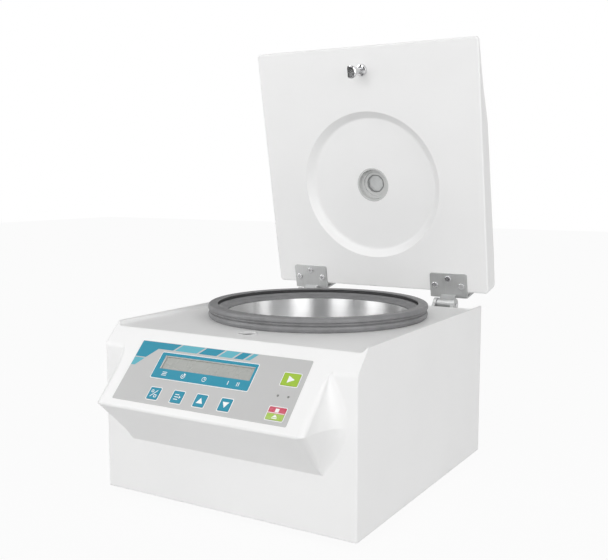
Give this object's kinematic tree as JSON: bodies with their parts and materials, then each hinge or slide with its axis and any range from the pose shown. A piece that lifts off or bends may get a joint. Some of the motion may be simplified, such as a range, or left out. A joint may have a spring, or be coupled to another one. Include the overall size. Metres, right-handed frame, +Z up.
{
  "type": "high-speed centrifuge",
  "caption": "Benchtop laboratory centrifuge: moulded casing with a sloping control console, round stainless chamber with an angle rotor, and a hinged lid held open",
  "frame": {"origin": "on the bench, under the middle of the part's box with the lid open as stored", "axes": "+X right as seen from the front, +Y to the back, +Z up"},
  "size_m": [0.373, 0.5228, 0.6151],
  "materials": {
    "casing_plastic": "moulded, lightly grained",
    "liner_plastic": "smooth moulded",
    "rear_paint": "fine powder coat",
    "plated_steel": "zinc plated",
    "bowl_stainless": "polished stainless",
    "seal_rubber": "moulded",
    "foot_rubber": "moulded",
    "overlay_film": "printed film",
    "display_lens": "clear over a grey display",
    "module_black": "black",
    "board_green": "solder mask",
    "dome_silicone": "silicone",
    "lamp_lens": "diffused lens",
    "key_teal": "printed key",
    "key_green": "printed key",
    "key_red": "printed key, half red and half green",
    "rotor_aluminium": "anodised",
    "shaft_steel": "ground",
    "hinge_metal": "satin",
    "bright_steel": "polished",
    "motor_paint": "semi-gloss",
    "winding_copper": "lacquered copper",
    "core_iron": "laminated",
    "fitting_black": "black",
    "contact_brass": "bright",
    "bezel_grey": "smooth",
    "sight_clear": "clear"
  },
  "bodies": {
    "base": {"armour_ring": "plated_steel", "base_plate": "plated_steel", "board_brackets": "plated_steel", "bowl_posts": "plated_steel", "casing_shell": "casing_plastic", "chamber_bowl": "bowl_stainless", "chamber_seal": "seal_rubber", "control_board": "board_green", "control_overlay": "overlay_film", "display_module": "module_black", "display_window": "display_lens", "fuse_holder": "fitting_black", "hinge_base_left": "hinge_metal", "hinge_base_right": "hinge_metal", "hinge_pins": "bright_steel", "hinge_screws": "bright_steel", "indicator_lamps": "lamp_lens", "inlet_blades": "contact_brass", "keypad_board": "board_green", "keypad_mat": "dome_silicone", "lock_frame": "plated_steel", "lock_solenoid": "module_black", "lock_switch": "module_black", "motor_bearings": "bright_steel", "motor_housing": "motor_paint", "motor_plate": "plated_steel", "motor_stator": "winding_copper", "panel_screws": "bright_steel", "power_inlet": "fitting_black", "rear_panel": "rear_paint", "rubber_feet": "foot_rubber", "shaft_boot": "seal_rubber", "striker_escutcheon": "casing_plastic", "switch_frame": "fitting_black", "transformer": "core_iron", "vibration_mounts": "foot_rubber"},
    "lid": {"lid_shell": "casing_plastic", "lid_liner": "liner_plastic", "lid_frame": "plated_steel", "sight_bezel": "bezel_grey", "sight_ring": "bezel_grey", "sight_glass": "sight_clear", "striker": "bright_steel", "striker_collar": "bright_steel", "hinge_leaf_left": "hinge_metal", "hinge_leaf_right": "hinge_metal", "leaf_screws": "bright_steel"},
    "rotor": {"spindle": "shaft_steel", "motor_armature": "core_iron", "angle_rotor": "rotor_aluminium", "rotor_nut": "rotor_aluminium"},
    "key_program": {"key_program": "key_teal"},
    "key_select": {"key_select": "key_teal"},
    "key_up": {"key_up": "key_teal"},
    "key_down": {"key_down": "key_teal"},
    "key_start": {"key_start": "key_green"},
    "key_stop_open": {"key_stop_open": "key_red"},
    "catch": {"lock_catch": "plated_steel", "lock_plunger": "plated_steel"},
    "rocker": {"power_rocker": "fitting_black"}
  },
  "joints": [
    {"name": "lid_hinge", "type": "hinge", "parent": "base", "child": "lid", "pos_m": [0, 0.21448, 0.2238], "axis": [1, 0, 0], "range_deg": [0, 79.33]},
    {"name": "rotor_spin", "type": "hinge", "parent": "base", "child": "rotor", "pos_m": [0, 0.03408, 0.1], "axis": [0, 0, 1], "continuous": true},
    {"name": "key_program_press", "type": "slide", "parent": "base", "child": "key_program", "axis": [0, 0.7133, -0.7009], "range_m": [0, 0.0005], "stiffness_N_per_m": 1500},
    {"name": "key_select_press", "type": "slide", "parent": "base", "child": "key_select", "axis": [0, 0.7133, -0.7009], "range_m": [0, 0.0005], "stiffness_N_per_m": 1500},
    {"name": "key_up_press", "type": "slide", "parent": "base", "child": "key_up", "axis": [0, 0.7133, -0.7009], "range_m": [0, 0.0005], "stiffness_N_per_m": 1500},
    {"name": "key_down_press", "type": "slide", "parent": "base", "child": "key_down", "axis": [0, 0.7133, -0.7009], "range_m": [0, 0.0005], "stiffness_N_per_m": 1500},
    {"name": "key_start_press", "type": "slide", "parent": "base", "child": "key_start", "axis": [0, 0.7133, -0.7009], "range_m": [0, 0.0005], "stiffness_N_per_m": 1500},
    {"name": "key_stop_open_press", "type": "slide", "parent": "base", "child": "key_stop_open", "axis": [0, 0.7133, -0.7009], "range_m": [0, 0.0005], "stiffness_N_per_m": 1500},
    {"name": "catch_slide", "type": "slide", "parent": "base", "child": "catch", "axis": [-1, 0, 0], "range_m": [0, 0.008], "stiffness_N_per_m": 200},
    {"name": "rocker_tilt", "type": "hinge", "parent": "base", "child": "rocker", "pos_m": [0.102, 0.19768, 0.053], "axis": [-1, 0, 0], "range_deg": [0, 20]}
  ]
}
